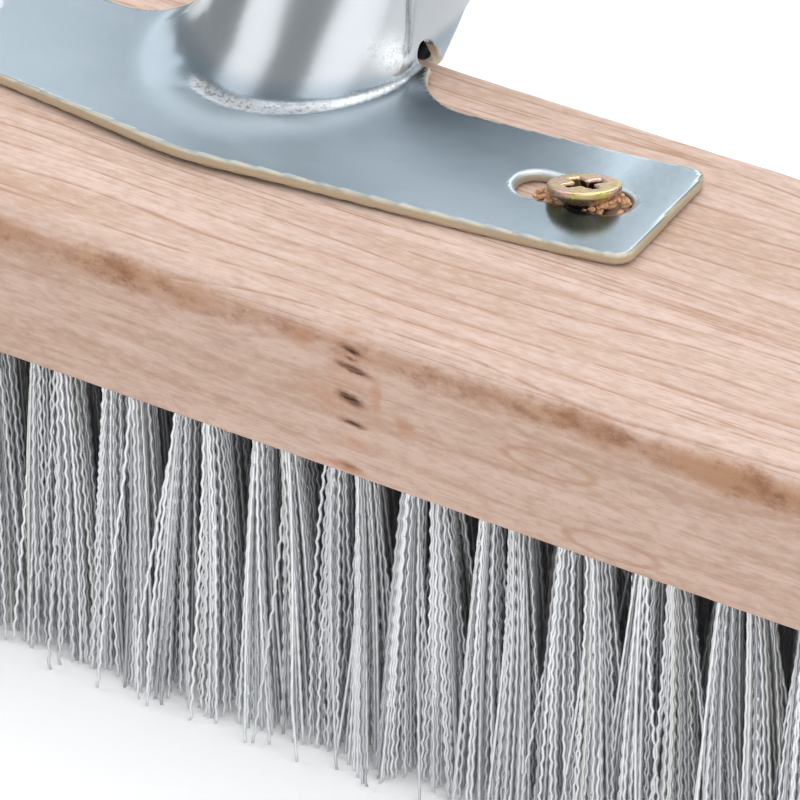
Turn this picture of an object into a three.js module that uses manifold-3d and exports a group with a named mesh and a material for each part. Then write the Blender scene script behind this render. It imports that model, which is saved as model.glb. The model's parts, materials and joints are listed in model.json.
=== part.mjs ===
// Crimped-wire block brush head with a pressed-steel handle bracket.
// Millimetres. +X runs along the wood block, +Y is the side the handle socket leans to, +Z is up.
// Z = 0 is the trimmed tips of the wire, and the origin is under the middle of the whole head.

import * as THREE from 'three';
import { mergeGeometries, mergeVertices } from 'three/addons/utils/BufferGeometryUtils.js';
import Module from 'manifold-3d';

const wasm = await Module();
wasm.setup();

// ---------------------------------------------------------------- driving dimensions

const BLOCK = { length: 300, width: 60, thickness: 21, arris: 3.5, endBevel: 1.2 };
const TRIM = 48.5;                                // free length of the wire below the wood
const SHEET = 1.6;                                // thickness of the bracket's sheet steel
const TUFT = { radius: 2.7, pitch: 10.9, perRow: 27, rows: 5, rowPitch: 10.5, sides: 8 };
const TUFT_HOLE = { depth: 9, clearance: 0.15 };
const TUFTS_PER_CLUMP = 3;                        // neighbours whose wires have caught on each other
const TAB = { sweep: 7.5, width: 22.8, slotX: 46.3, slotY: 8.1, slotToEnd: 12.6, endSlant: 4.5, corner: 3 };
const SLOT = { length: 15, width: 5.5 };
const SOCKET = { bore: 28, lean: 52.5, length: 62, footY: 23.2, footFlat: 0.8, roundBy: 26 };
const SCREW = { head: 9.2, proud: 2, rim: 0.8, thread: 5, root: 3.6, length: 12, pitch: 2.2, offset: 1.8 };

const BLOCK_BOTTOM = TRIM;
const BLOCK_TOP = TRIM + BLOCK.thickness;
const PLATE_TOP = BLOCK_TOP + SHEET;
const LEAN = THREE.MathUtils.degToRad(SOCKET.lean);
const SOCKET_OUTER = SOCKET.bore / 2 + SHEET;

// ---------------------------------------------------------------- materials

const steelSheet = new THREE.MeshStandardMaterial({ color: 0xb4bec6, roughness: 0.38, metalness: 0.9 });
const yellowZinc = new THREE.MeshStandardMaterial({ color: 0xb39a5c, roughness: 0.35, metalness: 0.9 });
const beech = new THREE.MeshStandardMaterial({ color: 0xd9b79f, roughness: 0.75, metalness: 0 });
const wire = new THREE.MeshStandardMaterial({ color: 0x9b9c9e, roughness: 0.4, metalness: 0.85 });

// ---------------------------------------------------------------- small helpers

/** A closed, welded geometry as a manifold solid. */
function solid(geometry) {
  const bare = geometry.clone();
  bare.deleteAttribute('normal');
  bare.deleteAttribute('uv');
  const welded = mergeVertices(bare, 1e-5);
  return new wasm.Manifold(new wasm.Mesh({
    numProp: 3,
    vertProperties: new Float32Array(welded.attributes.position.array),
    triVerts: new Uint32Array(welded.index.array),
  }));
}

/** A manifold solid as a three.js geometry. */
function geometryOf(manifold) {
  const mesh = manifold.getMesh();
  const geometry = new THREE.BufferGeometry();
  geometry.setAttribute('position', new THREE.BufferAttribute(mesh.vertProperties, 3));
  geometry.setIndex(new THREE.BufferAttribute(mesh.triVerts, 1));
  const flat = geometry.toNonIndexed();
  flat.computeVertexNormals();
  return flat;
}

/** A closed skin over convex rings that all have the same number of points. */
function loft(rings) {
  const count = rings[0].length;
  const positions = rings.flat().flatMap((p) => [p.x, p.y, p.z]);
  const index = [];
  for (let r = 0; r < rings.length - 1; r += 1) {
    for (let i = 0; i < count; i += 1) {
      const a = r * count + i;
      const b = r * count + (i + 1) % count;
      index.push(a, b, b + count, a, b + count, a + count);
    }
  }
  const last = (rings.length - 1) * count;
  for (let i = 1; i < count - 1; i += 1) {
    index.push(0, i + 1, i);
    index.push(last, last + i, last + i + 1);
  }
  const geometry = new THREE.BufferGeometry();
  geometry.setAttribute('position', new THREE.Float32BufferAttribute(positions, 3));
  geometry.setIndex(index);
  return geometry;
}

/** A round or many-sided post along +Z. */
function post(radius, low, high, sides) {
  const geometry = new THREE.CylinderGeometry(radius, radius, high - low, sides);
  geometry.rotateX(Math.PI / 2);
  geometry.rotateZ(Math.PI / sides);
  geometry.translate(0, 0, (low + high) / 2);
  return geometry;
}

/** From socket coordinates: x across, b from the axis to the back and down, s up along the axis. */
const socketFrame = new THREE.Matrix4().makeBasis(
  new THREE.Vector3(1, 0, 0),
  new THREE.Vector3(0, Math.cos(LEAN), -Math.sin(LEAN)),
  new THREE.Vector3(0, Math.sin(LEAN), Math.cos(LEAN)),
).setPosition(0, SOCKET.footY, PLATE_TOP);

// ---------------------------------------------------------------- where the tufts stand

/** The tufts of one row from left to right; every second row is staggered and has one tuft less. */
function tuftRow(row) {
  const y = (row - (TUFT.rows - 1) / 2) * TUFT.rowPitch;
  const count = TUFT.perRow - (row % 2);
  const first = -(count - 1) * TUFT.pitch / 2;
  return Array.from({ length: count }, (_, i) => ({ x: first + i * TUFT.pitch, y }));
}

/** One row cut into clumps, the same from both ends. */
function clumpsOf(tufts) {
  const middleSize = tufts.length % TUFTS_PER_CLUMP || TUFTS_PER_CLUMP;
  const sideClumps = (tufts.length - middleSize) / TUFTS_PER_CLUMP / 2;
  const clumps = [];
  let next = 0;
  for (let c = 0; c < 2 * sideClumps + 1; c += 1) {
    const size = c === sideClumps ? middleSize : TUFTS_PER_CLUMP;
    clumps.push(tufts.slice(next, next + size));
    next += size;
  }
  return clumps;
}

// ---------------------------------------------------------------- wood block

function blockSection() {
  const half = BLOCK.width / 2;
  const worn = BLOCK.arris;
  const sharp = 1;
  const shape = new THREE.Shape();
  shape.moveTo(-half + sharp, BLOCK_BOTTOM);
  shape.lineTo(half - sharp, BLOCK_BOTTOM);
  shape.lineTo(half, BLOCK_BOTTOM + sharp);
  shape.lineTo(half, BLOCK_TOP - worn);
  shape.absarc(half - worn, BLOCK_TOP - worn, worn, 0, Math.PI / 2);
  shape.lineTo(-half + worn, BLOCK_TOP);
  shape.absarc(-half + worn, BLOCK_TOP - worn, worn, Math.PI / 2, Math.PI);
  shape.lineTo(-half, BLOCK_BOTTOM + sharp);
  shape.closePath();
  return shape;
}

function woodBlock() {
  const bevel = BLOCK.endBevel;
  const bar = new THREE.ExtrudeGeometry(blockSection(), {
    depth: BLOCK.length - 2 * bevel,
    curveSegments: 6,
    bevelEnabled: true,
    bevelSegments: 1,
    bevelSize: bevel,
    bevelThickness: bevel,
    bevelOffset: -bevel,
  });
  bar.translate(0, 0, bevel - BLOCK.length / 2);
  bar.applyMatrix4(new THREE.Matrix4().makeBasis(
    new THREE.Vector3(0, 1, 0),
    new THREE.Vector3(0, 0, 1),
    new THREE.Vector3(1, 0, 0),
  ));

  const holes = [];
  for (let row = 0; row < TUFT.rows; row += 1) {
    for (const { x, y } of tuftRow(row)) {
      const radius = TUFT.radius + TUFT_HOLE.clearance;
      const top = BLOCK_BOTTOM + TUFT_HOLE.depth + TUFT_HOLE.clearance;
      holes.push(post(radius, BLOCK_BOTTOM - 1, top, TUFT.sides).translate(x, y, 0));
    }
  }
  for (const side of [-1, 1]) {
    const depth = SCREW.length - SHEET + 0.5;
    const pilot = post(SCREW.thread / 2 + 0.1, BLOCK_TOP - depth, BLOCK_TOP + 1, 16);
    holes.push(pilot.translate(side * screwSpot().x, screwSpot().y, 0));
  }
  return geometryOf(solid(bar).subtract(solid(mergeGeometries(holes))));
}

// ---------------------------------------------------------------- handle bracket

/** A point of the right-hand tab from its own axes: u outwards from the slot's middle, w to the back. */
function tabPoint(u, w) {
  const sweep = THREE.MathUtils.degToRad(TAB.sweep);
  return new THREE.Vector2(
    TAB.slotX + u * Math.cos(sweep) - w * Math.sin(sweep),
    TAB.slotY + u * Math.sin(sweep) + w * Math.cos(sweep),
  );
}

/** Where the right-hand screw stands: in its slot, a little outwards of the slot's middle. */
function screwSpot() {
  return tabPoint(SCREW.offset, 0);
}

/** How far out the tab reaches at w: its end is cut a little out of square. */
function tabEnd(w) {
  return TAB.slotToEnd + w * Math.tan(THREE.MathUtils.degToRad(TAB.endSlant));
}

/** The right half of the plate's outline, from the front point on the middle line to the back. */
function rightOutline() {
  const half = TAB.width / 2;
  const r = TAB.corner;
  const bendStart = tabPoint(-39, -half);
  const frontPoint = new THREE.Vector2(0, bendStart.y - 0.9);
  const neckStart = tabPoint(-18.5, half);
  const neckEnd = new THREE.Vector2(SOCKET_OUTER + 0.3, SOCKET.footY + 3.2);

  const curve = new THREE.CurvePath();
  curve.add(new THREE.QuadraticBezierCurve(frontPoint, new THREE.Vector2(3.5, frontPoint.y), bendStart));
  const frontCorner = [
    tabPoint(tabEnd(-half) - r, -half),
    tabPoint(tabEnd(-half), -half),
    tabPoint(tabEnd(r - half), r - half),
  ];
  const backCorner = [
    tabPoint(tabEnd(half - r), half - r),
    tabPoint(tabEnd(half), half),
    tabPoint(tabEnd(half) - r, half),
  ];
  curve.add(new THREE.LineCurve(bendStart, frontCorner[0]));
  curve.add(new THREE.QuadraticBezierCurve(...frontCorner));
  curve.add(new THREE.LineCurve(frontCorner[2], backCorner[0]));
  curve.add(new THREE.QuadraticBezierCurve(...backCorner));
  curve.add(new THREE.LineCurve(backCorner[2], neckStart));
  curve.add(new THREE.CubicBezierCurve(
    neckStart,
    new THREE.Vector2(neckStart.x - 6, neckStart.y - 0.9),
    new THREE.Vector2(neckEnd.x + 1, neckEnd.y - 6.5),
    neckEnd,
  ));
  return curve.curves.flatMap((part) => part.getPoints(part instanceof THREE.LineCurve ? 1 : 6).slice(0, -1))
    .concat(neckEnd);
}

function slotOutline(side) {
  const r = SLOT.width / 2;
  const reach = SLOT.length / 2 - r;
  const points = [];
  for (const end of [1, -1]) {
    for (let i = 0; i <= 8; i += 1) {
      const angle = (i / 8 - 0.5) * Math.PI;
      points.push(tabPoint(end * (reach + r * Math.cos(angle)), end * r * Math.sin(angle)));
    }
  }
  return new THREE.Path(points.map((p) => new THREE.Vector2(side * p.x, p.y)));
}

function bracketPlate() {
  const right = rightOutline();
  const left = right.slice(1).reverse().map((p) => new THREE.Vector2(-p.x, p.y));
  const shape = new THREE.Shape([...right, ...left]);
  shape.holes = [slotOutline(1), slotOutline(-1)];
  return new THREE.ExtrudeGeometry(shape, { depth: SHEET, bevelEnabled: false }).translate(0, 0, BLOCK_TOP);
}

/** Skin of the socket at a given distance inside its outer face: flattened in front at the foot. */
function socketSkin(inset, from, to) {
  const stations = [from, ...[-8, 0, 9, 18, SOCKET.roundBy].filter((s) => s > from && s < to), to];
  const sides = 48;
  const skin = loft(stations.map((s) => {
    const rise = THREE.MathUtils.smoothstep(s, -8, SOCKET.roundBy);
    const frontRadius = SOCKET_OUTER * THREE.MathUtils.lerp(SOCKET.footFlat, 1, rise);
    return Array.from({ length: sides }, (_, i) => {
      const angle = 2 * Math.PI * i / sides;
      const backRadius = Math.sin(angle) < 0 ? frontRadius : SOCKET_OUTER;
      return new THREE.Vector3(
        (SOCKET_OUTER - inset) * Math.cos(angle),
        (backRadius - inset) * Math.sin(angle),
        s,
      );
    });
  }));
  return skin.applyMatrix4(socketFrame);
}

/** A box given by its lowest and highest corner in socket coordinates. */
function socketBox(low, high) {
  const size = high.map((value, i) => value - low[i]);
  const middle = high.map((value, i) => (value + low[i]) / 2);
  return new THREE.BoxGeometry(...size).translate(...middle).applyMatrix4(socketFrame);
}

function handleBracket() {
  const freeEnd = 4;                              // the back half of the tube is cut square here
  const sideLine = 1.9;                           // and the cut runs down to the plate on this line
  const below = new THREE.BoxGeometry(200, 200, 60);
  below.translate(0, BLOCK.width / 2 - 100, BLOCK_TOP - 30);

  let tube = solid(socketSkin(0, -22, SOCKET.length));
  tube = tube.subtract(solid(below));
  tube = tube.subtract(solid(socketBox([-40, sideLine, -60], [40, 60, freeEnd])));

  let bracket = solid(bracketPlate()).add(tube);
  bracket = bracket.subtract(solid(socketSkin(SHEET, -26, SOCKET.length + 4)));
  bracket = bracket.subtract(solid(socketBox([-0.6, 5, -60], [0.6, 40, SOCKET.length + 4])));

  const reliefRadius = 1.8;
  const relief = post(reliefRadius, -40, 40, 16).rotateY(Math.PI / 2);
  relief.translate(0, sideLine, freeEnd - reliefRadius).applyMatrix4(socketFrame);
  bracket = bracket.subtract(solid(relief));

  for (const side of [-1, 1]) {
    const hole = post(2, 0, 40, 16).rotateY(side * Math.PI / 2);
    hole.rotateZ(side * THREE.MathUtils.degToRad(36));
    hole.translate(0, 0, 11).applyMatrix4(socketFrame);
    bracket = bracket.subtract(solid(hole));
  }
  return geometryOf(bracket);
}

// ---------------------------------------------------------------- screws

/** Half section of a countersunk screw. It stands proud: its cone only just enters the slot. */
function screwProfile() {
  const head = SCREW.head / 2;
  const thread = SCREW.thread / 2;
  const root = SCREW.root / 2;
  const mouth = SLOT.width / 2 - 0.1;
  const points = [[0, -SCREW.length]];
  const tipLength = 2.4;
  points.push([root * 0.55, tipLength * 0.45 - SCREW.length]);
  for (let z = tipLength - SCREW.length; z < -1.6 - SCREW.pitch; z += SCREW.pitch) {
    points.push([root, z]);
    points.push([thread, z + SCREW.pitch / 2]);
  }
  points.push([root, -1.6]);
  points.push([root, root - mouth]);
  points.push([mouth, 0]);
  points.push([head, SCREW.proud - SCREW.rim]);
  points.push([head, SCREW.proud - 0.2]);
  points.push([head - 0.2, SCREW.proud]);
  points.push([0, SCREW.proud]);
  return points.map(([x, y]) => new THREE.Vector2(x, y));
}

function screw(side) {
  const body = new THREE.LatheGeometry(screwProfile(), 24).rotateX(Math.PI / 2);
  let piece = solid(body);
  const recess = { length: 4.8, width: 1.1, depth: 1.6 };
  for (const angle of [20, 110]) {
    const wing = new THREE.BoxGeometry(recess.length, recess.width, 4);
    wing.rotateZ(THREE.MathUtils.degToRad(angle));
    wing.translate(0, 0, SCREW.proud + 2 - recess.depth);
    piece = piece.subtract(solid(wing));
  }
  return geometryOf(piece).translate(side * screwSpot().x, screwSpot().y, PLATE_TOP);
}

// ---------------------------------------------------------------- wire tufts

/** One tuft: straight in its hole, then fanning out to the tips. Reaches are how far the tips spread. */
function tuft({ x, y }, reachLeft, reachRight) {
  const spreadY = 5;
  const ring = (z, left, right, across) => Array.from({ length: TUFT.sides }, (_, i) => {
    const angle = 2 * Math.PI * (i + 0.5) / TUFT.sides;
    const along = Math.cos(angle) < 0 ? left : right;
    return new THREE.Vector3(x + along * Math.cos(angle), y + across * Math.sin(angle), z);
  });
  const r = TUFT.radius;
  return loft([
    ring(0, reachLeft, reachRight, spreadY),
    ring(BLOCK_BOTTOM, r, r, r),
    ring(BLOCK_BOTTOM + TUFT_HOLE.depth, r, r, r),
  ]);
}

/** Tufts side by side whose tips have caught on each other; the clump keeps clear of its neighbours. */
function tuftClump(tufts) {
  const corner = Math.cos(Math.PI / TUFT.sides);
  const touching = (TUFT.pitch / 2 + 0.3) / corner;
  const clear = (TUFT.pitch / 2 - 0.25) / corner;
  return geometryOf(tufts.map((place, i) => solid(tuft(
    place,
    i === 0 ? clear : touching,
    i === tufts.length - 1 ? clear : touching,
  ))).reduce((clump, next) => clump.add(next)));
}

// ---------------------------------------------------------------- assembly

const brush = new THREE.Group();
brush.name = 'wire_block_brush_head';

function place(name, geometry, material) {
  const mesh = new THREE.Mesh(geometry, material);
  mesh.name = name;
  brush.add(mesh);
}

place('wood_block', woodBlock(), beech);
place('handle_bracket', handleBracket(), steelSheet);
place('screw_left', screw(-1), yellowZinc);
place('screw_right', screw(1), yellowZinc);
for (let row = 0; row < TUFT.rows; row += 1) {
  clumpsOf(tuftRow(row)).forEach((tufts, i) => {
    place(`tufts_row${row + 1}_clump${i + 1}`, tuftClump(tufts), wire);
  });
}

const box = new THREE.Box3().setFromObject(brush);
brush.position.set(0, -(box.min.y + box.max.y) / 2, -box.min.z);

export default brush;
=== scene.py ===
"""Looks for a crimped-wire block brush head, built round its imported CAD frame.

Lengths in the shape code are millimetres in the part's own axes: X = 0 and Y = 0 at the middle of the wood
block, Z = 0 at the trimmed wire tips. Objects are made in metres in the row frame.
"""

import json
import math

import bpy
import numpy as np
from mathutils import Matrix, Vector

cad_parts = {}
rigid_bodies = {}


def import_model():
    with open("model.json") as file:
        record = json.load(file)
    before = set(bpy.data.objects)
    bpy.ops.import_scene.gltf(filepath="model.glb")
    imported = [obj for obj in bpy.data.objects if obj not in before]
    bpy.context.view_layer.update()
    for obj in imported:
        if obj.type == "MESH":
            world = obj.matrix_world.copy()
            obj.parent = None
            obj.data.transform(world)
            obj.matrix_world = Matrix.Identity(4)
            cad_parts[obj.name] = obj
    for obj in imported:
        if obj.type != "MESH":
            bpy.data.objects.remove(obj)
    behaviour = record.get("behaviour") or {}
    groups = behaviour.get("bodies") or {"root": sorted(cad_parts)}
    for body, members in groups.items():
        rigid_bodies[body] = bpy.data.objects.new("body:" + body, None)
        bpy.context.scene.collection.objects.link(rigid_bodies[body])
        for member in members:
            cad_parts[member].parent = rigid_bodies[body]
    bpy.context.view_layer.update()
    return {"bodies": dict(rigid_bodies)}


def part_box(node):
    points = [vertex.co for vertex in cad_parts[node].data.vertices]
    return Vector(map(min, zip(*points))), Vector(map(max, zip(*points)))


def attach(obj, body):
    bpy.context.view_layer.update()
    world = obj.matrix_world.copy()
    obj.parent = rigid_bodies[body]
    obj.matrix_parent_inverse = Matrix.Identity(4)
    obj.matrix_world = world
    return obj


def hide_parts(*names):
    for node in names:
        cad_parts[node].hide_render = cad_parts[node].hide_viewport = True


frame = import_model()
BODY = next(iter(frame["bodies"]))

MM = 0.001
SEED = 5                                          # of the wires and the crumbs

# ---------------- sizes, from the frame where it has them

wood_low, wood_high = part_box("wood_block")
sheet_low, sheet_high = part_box("handle_bracket")
screw_low, screw_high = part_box("screw_right")

MIDDLE = Vector(((wood_low.x + wood_high.x) / 2, (wood_low.y + wood_high.y) / 2, 0.0))
LENGTH, WIDTH = ((wood_high - wood_low) / MM)[:2]
WOOD_BOTTOM, WOOD_TOP = wood_low.z / MM, wood_high.z / MM
ARRIS = 3.5

SHEET = 1.6
PLATE_TOP = WOOD_TOP + SHEET
ARCH = 0.6                                        # how far the plate's middle stands off the wood
TAB_SWEEP = math.radians(7.5)
TAB_WIDTH, TAB_CORNER = 22.8, 3.0
TAB_END, END_SLANT = 12.6, math.tan(math.radians(4.5))
SLOT_AT = (46.3, 8.1)
SLOT_LENGTH, SLOT_WIDTH = 15.0, 5.5
BRACKET_GRID = 0.5

LEAN = math.radians(52.5)                         # of the socket, from upright to the back
SOCKET_RADIUS, SOCKET_LENGTH = 15.6, 62.0
SOCKET_FOOT_Y = 23.2
FOOT_FLAT, FOOT_START, ROUND_BY = 0.80, -8.0, 26.0  # front radius at the foot, and where it turns round
SIDE_LINE = 1.9                                   # behind the axis, where the plate ends at the tube's side
FREE_END = 4.0                                    # along the axis, where the tube's free rear half starts
RELIEF, RELIEF_STRETCH = 1.75, 1.65               # round notch in the corner between those two

SCREW_X = (screw_low.x + screw_high.x) / 2 / MM
SCREW_Y = ((screw_low.y + screw_high.y) / 2 - MIDDLE.y) / MM
LEFT_SCREW, RIGHT_SCREW = (-SCREW_X, SCREW_Y), (SCREW_X, SCREW_Y - 0.7)

ROWS, ROW_PITCH, TUFT_PITCH, ROW_TUFTS = 5, 10.5, 10.9, 27
HOLE_RADIUS, HOLE_DEPTH = 2.85, 9.0


# ---------------- mesh helpers

def to_row(points):
    """Millimetres in the part's axes to metres in the row frame."""
    return np.asarray(points, float) * MM + np.array(MIDDLE)


def mesh_piece(name, points, faces, materials, face_material=None):
    """A smooth mesh object from points in millimetres and a list of face arrays, quads then triangles."""
    faces = [np.asarray(block, np.int32) for block in faces]
    sizes = np.concatenate([np.full(len(block), block.shape[1]) for block in faces])
    corners = np.concatenate([block.ravel() for block in faces])
    mesh = bpy.data.meshes.new(name)
    mesh.vertices.add(len(points))
    mesh.vertices.foreach_set("co", to_row(points).astype(np.float32).ravel())
    mesh.loops.add(len(corners))
    mesh.loops.foreach_set("vertex_index", corners)
    mesh.polygons.add(len(sizes))
    mesh.polygons.foreach_set("loop_start", (np.cumsum(sizes) - sizes).astype(np.int32))
    for material in materials:
        mesh.materials.append(material)
    if face_material is not None:
        mesh.polygons.foreach_set("material_index", np.asarray(face_material, np.int32))
    mesh.polygons.foreach_set("use_smooth", np.ones(len(sizes), bool))
    mesh.update(calc_edges=True)
    piece = bpy.data.objects.new(name, mesh)
    bpy.context.scene.collection.objects.link(piece)
    return piece


def point_mask(piece, name, values):
    """Stores one number per point, for a material's Attribute node."""
    layer = piece.data.attributes.new(name, "FLOAT", "POINT")
    layer.data.foreach_set("value", np.asarray(values, np.float32))


def stand_for(piece, node):
    """The piece rides with the head and is shown instead of its CAD node."""
    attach(piece, BODY)
    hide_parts(node)
    return piece


# ---------------- number helpers

def smoothstep(low, high, value):
    """0 at low and 1 at high, eased at both ends; low may be the larger one."""
    t = np.clip((value - low) / (high - low), 0, 1)
    return t * t * (3 - 2 * t)


def smooth_min(a, b, reach):
    """The smaller of two fields, blended where they are closer than the reach."""
    near = np.maximum(reach - np.abs(a - b), 0) / reach
    return np.minimum(a, b) - near * near * reach / 4


def smooth_max(a, b, reach):
    return -smooth_min(-a, -b, reach)


def bump_at(distance, width):
    """1 on a line and fading to 0 over about that width."""
    return np.exp(-(distance / width) ** 2)


def waves(*coordinates, length, seed, count=10):
    """Smooth noise of about one unit from sines in seeded directions."""
    rng = np.random.default_rng(seed)
    total = 0.0
    for _ in range(count):
        direction = rng.normal(size=len(coordinates))
        direction *= rng.uniform(0.6, 1.7) * 2 * math.pi / length / np.linalg.norm(direction)
        along = sum(d * c for d, c in zip(direction, coordinates))
        total = total + np.sin(along + rng.uniform(0, 2 * math.pi))
    return total * math.sqrt(2 / count) / 1.4


def polygon_distance(x, y, points):
    """Distance to a closed outline, negative inside it."""
    nearest = np.inf
    inside = np.zeros(np.broadcast(x, y).shape, bool)
    for (ax, ay), (bx, by) in zip(points, np.roll(points, -1, axis=0)):
        ex, ey = bx - ax, by - ay
        t = np.clip(((x - ax) * ex + (y - ay) * ey) / (ex * ex + ey * ey + 1e-12), 0, 1)
        nearest = np.minimum(nearest, (x - ax - t * ex) ** 2 + (y - ay - t * ey) ** 2)
        if ay != by:
            inside ^= ((ay > y) != (by > y)) & (x < ax + (y - ay) * ex / ey)
    return np.where(inside, -1, 1) * np.sqrt(nearest)


def surface_net(field, low, high, step):
    """Closed quad skin where the field passes from below to above zero, on a grid of that step."""
    axes = [np.arange(a, b + step, step) for a, b in zip(low, high)]
    values = field(*np.meshgrid(*axes, indexing="ij", sparse=True)).astype(np.float32)
    cells = tuple(n - 1 for n in values.shape)
    cell_of, place, quads = [], [], []
    for axis in range(3):
        ahead = np.take(values, range(1, values.shape[axis]), axis)
        behind = np.take(values, range(0, values.shape[axis] - 1), axis)
        at = np.argwhere((ahead < 0) != (behind < 0))
        first, second = behind[tuple(at.T)], ahead[tuple(at.T)]
        spot = at.astype(float)
        spot[:, axis] += first / (first - second)
        u, v = (axis + 1) % 3, (axis + 2) % 3
        corner = []
        for du, dv in ((1, 1), (0, 1), (0, 0), (1, 0)):
            cell = at.copy()
            cell[:, u] -= du
            cell[:, v] -= dv
            corner.append(np.ravel_multi_index(cell.T, cells))
        corner = np.stack(corner, 1)
        flip = first > 0
        corner[flip] = corner[flip][:, ::-1]
        quads.append(corner)
        cell_of.append(corner.ravel())
        place.append(np.repeat(spot, 4, axis=0))
    quads, cell_of, place = (np.concatenate(parts) for parts in (quads, cell_of, place))
    _, index = np.unique(cell_of, return_inverse=True)
    count = np.bincount(index)
    points = np.stack([np.bincount(index, place[:, k]) / count for k in range(3)], 1)
    points = points * step + np.array([axis[0] for axis in axes])
    return points, index.reshape(quads.shape)


def slope(points, field, reach):
    """How fast the field rises at each point along X, Y and Z."""
    return np.stack([
        (field(*(points + reach * step).T) - field(*(points - reach * step).T)) / (2 * reach)
        for step in np.eye(3)
    ], 1)


def settle(points, field, rounds=4, reach=0.02):
    """Moves points onto the zero of the field along its slope."""
    for _ in range(rounds):
        rise = slope(points, field, reach)
        size = np.maximum((rise ** 2).sum(1), 0.05)
        move = -rise * (field(*points.T) / size)[:, None]
        points = points + np.clip(move, -0.25, 0.25)
    return points


def shade_by_slope(piece, points, field, reach=0.06):
    """Gives a piece the normals of the field it was made from."""
    rise = slope(points, field, reach)
    rise /= np.linalg.norm(rise, axis=1)[:, None] + 1e-9
    piece.data.normals_split_custom_set_from_vertices(rise.tolist())


# ---------------- handle bracket

def tab_point(u, w):
    """A point of the right tab from its own axes: u outwards from the slot's middle, w to the back."""
    return (
        SLOT_AT[0] + u * math.cos(TAB_SWEEP) - w * math.sin(TAB_SWEEP),
        SLOT_AT[1] + u * math.sin(TAB_SWEEP) + w * math.cos(TAB_SWEEP),
    )


def tab_axes(x, y):
    """The reverse of tab_point."""
    dx, dy = x - SLOT_AT[0], y - SLOT_AT[1]
    return (
        dx * math.cos(TAB_SWEEP) + dy * math.sin(TAB_SWEEP),
        -dx * math.sin(TAB_SWEEP) + dy * math.cos(TAB_SWEEP),
    )


def curve_points(controls, count):
    """Points on a Bezier curve of any degree, without its last point."""
    points = []
    degree = len(controls) - 1
    for t in np.linspace(0, 1, count, endpoint=False):
        weights = [math.comb(degree, k) * t ** k * (1 - t) ** (degree - k) for k in range(degree + 1)]
        points.append(np.dot(weights, controls))
    return points


def tab_end(w):
    """How far out the tab reaches: its end is cut a little out of square."""
    return TAB_END + w * END_SLANT


def plate_outline():
    """Right half of the plate seen from above, closed along a line left of the middle."""
    half, r = TAB_WIDTH / 2, TAB_CORNER
    bend = tab_point(-39, -half)
    front = (0, bend[1] - 0.9)
    neck = tab_point(-18.5, half)
    notch = (SOCKET_RADIUS + 0.3, SOCKET_FOOT_Y + 3.2)
    front_corner = [(tab_end(-half) - r, -half), (tab_end(-half), -half), (tab_end(r - half), r - half)]
    back_corner = [(tab_end(half - r), half - r), (tab_end(half), half), (tab_end(half) - r, half)]
    points = [(-5, front[1])]
    points += curve_points([front, (3.5, front[1]), bend], 8)
    points += [bend]
    points += curve_points([tab_point(*p) for p in front_corner], 7)
    points += curve_points([tab_point(*p) for p in back_corner], 7)
    points += [tab_point(*back_corner[2])]
    points += curve_points([neck, (neck[0] - 6, neck[1] - 0.9), (notch[0] + 1, notch[1] - 6.5), notch], 12)
    points += [notch, (-5, notch[1])]
    return np.array(points)


OUTLINE = plate_outline()


def socket_axes(y, z):
    """Distance behind the socket's axis, and along it from its foot."""
    dy, dz = y - SOCKET_FOOT_Y, z - PLATE_TOP
    return (
        dy * math.cos(LEAN) - dz * math.sin(LEAN),
        dy * math.sin(LEAN) + dz * math.cos(LEAN),
    )


def slot_distance(x, y):
    """Distance to the tab's slot, seen from above."""
    u, w = tab_axes(x, y)
    reach = (SLOT_LENGTH - SLOT_WIDTH) / 2
    return np.hypot(np.maximum(np.abs(u) - reach, 0), w) - SLOT_WIDTH / 2


def crease_distance(across, behind, along):
    """Millimetres round the tube from the crease between the drawn front and the bent-up side wing."""
    turn = np.arctan2(across, -behind + 1e-9)
    crease = math.radians(74) - math.radians(13) * smoothstep(0, 8, along)
    return (turn - crease) * SOCKET_RADIUS


def tube_distance(across, behind, along):
    """Distance to the middle of the socket's sheet: flattened in front at the foot, round at the mouth."""
    wide = SOCKET_RADIUS - SHEET / 2
    share = FOOT_FLAT + (1 - FOOT_FLAT) * smoothstep(FOOT_START, ROUND_BY, along)
    front = SOCKET_RADIUS * share - SHEET / 2
    deep = np.where(behind < 0, front, wide)
    g = np.sqrt((across / wide) ** 2 + (behind / deep) ** 2) + 1e-9
    return (g - 1) * g / np.sqrt((across / wide ** 2) ** 2 + (behind / deep ** 2) ** 2 + 1e-9)


def side_hole(across, behind, along):
    """Distance to the hole on each side of the tube for the screw that holds the handle."""
    turn = math.radians(29)
    off_axis = across * math.sin(turn) - behind * math.cos(turn)
    ahead = across * math.cos(turn) + behind * math.sin(turn)
    return np.where(ahead > 0, np.hypot(off_axis, along - 11) - 2, 5)


def plate_lift(across):
    """The plate is arched: it stands off the wood in the middle, and its tabs turn up a little at the end."""
    return ARCH * smoothstep(46, 6, across) + 0.3 * smoothstep(49, 61, across)


def bracket_middle(x, tube, behind, flat):
    """Zero on the middle of the sheet, where the plate runs up into the socket. The left corner is soft."""
    swell = 0.14 * bump_at(tube - 3.0, 1.8) * smoothstep(SIDE_LINE, SIDE_LINE - 8, behind)
    plate = flat - swell + 12 * smoothstep(SIDE_LINE - 0.8, SIDE_LINE, behind)
    return smooth_min(plate, tube, 1.0 + 3.5 * smoothstep(-5, -12, x))


def side_wing(x, tube, crease, along):
    """The tube past its crease: a groove on the right, then a flatter side, both fading up the socket."""
    share = smoothstep(30, 8, along)
    over = np.clip(crease / 13.5, 0, 1)
    groove = 0.2 * bump_at(crease, 0.5) * smoothstep(-0.6, 1, along) * smoothstep(-2, 2, x)
    return tube + share * (0.75 * 4 * over * (1 - over) + groove)


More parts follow.
